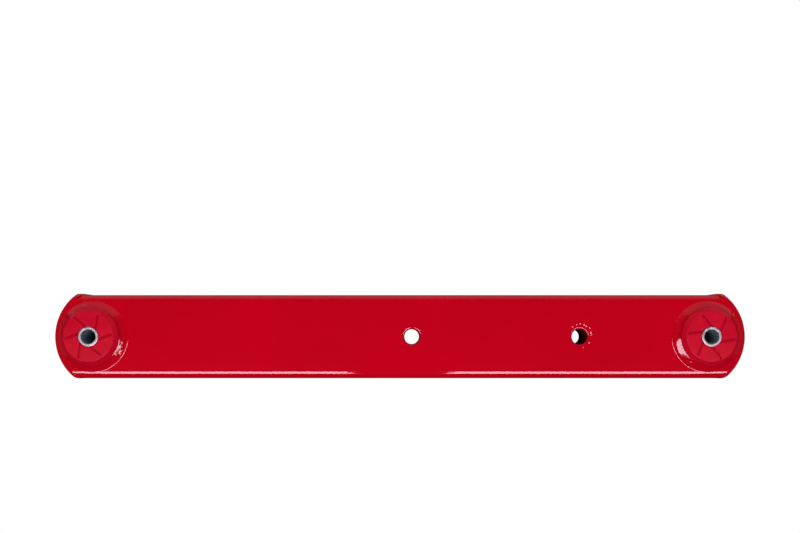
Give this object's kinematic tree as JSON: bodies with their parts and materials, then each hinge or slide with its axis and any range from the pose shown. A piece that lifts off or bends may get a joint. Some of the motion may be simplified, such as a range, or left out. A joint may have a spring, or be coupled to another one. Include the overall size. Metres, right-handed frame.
{
  "type": "control arm",
  "caption": "Boxed steel rear lower control arm with rounded, welded ends, greased polyurethane bushings on steel sleeves, and spacer-lined anti-roll bar bolt holes.",
  "frame": {"origin": "centre of the front bushing bore, halfway along the bore and halfway through the box section", "axes": "+X along the arm from the front (body side) bore to the rear (axle side) bore, +Z along both bores, +Y across the wide side of the box section. The arm lies flat on its bushing sleeves."},
  "size_m": [0.629, 0.079, 0.0612],
  "materials": {
    "powder_coat_red": "gloss",
    "red_polyurethane": "satin",
    "zinc_steel": "satin"
  },
  "bodies": {
    "arm": {"box_tube": "powder_coat_red", "front_end_cap": "powder_coat_red", "rear_end_cap": "powder_coat_red", "front_cap_welds": "powder_coat_red", "rear_cap_welds": "powder_coat_red", "front_bushing_shell": "powder_coat_red", "rear_bushing_shell": "powder_coat_red", "front_shell_weld_top": "powder_coat_red", "front_shell_weld_bottom": "powder_coat_red", "rear_shell_weld_top": "powder_coat_red", "rear_shell_weld_bottom": "powder_coat_red", "front_bushing_top": "red_polyurethane", "front_bushing_bottom": "red_polyurethane", "rear_bushing_top": "red_polyurethane", "rear_bushing_bottom": "red_polyurethane", "mid_bolt_spacer": "powder_coat_red", "rear_bolt_spacer": "powder_coat_red", "mid_spacer_weld_top": "powder_coat_red", "mid_spacer_weld_bottom": "powder_coat_red", "rear_spacer_weld_top": "powder_coat_red", "rear_spacer_weld_bottom": "powder_coat_red"},
    "front_sleeve": {"front_inner_sleeve": "zinc_steel"},
    "rear_sleeve": {"rear_inner_sleeve": "zinc_steel"}
  },
  "joints": [
    {"name": "front_sleeve_spin", "type": "hinge", "parent": "arm", "child": "front_sleeve", "pos_m": [0, 0, 0], "axis": [0, 0, 1], "continuous": true},
    {"name": "rear_sleeve_spin", "type": "hinge", "parent": "arm", "child": "rear_sleeve", "pos_m": [0.5588, 0, 0], "axis": [0, 0, 1], "continuous": true}
  ]
}
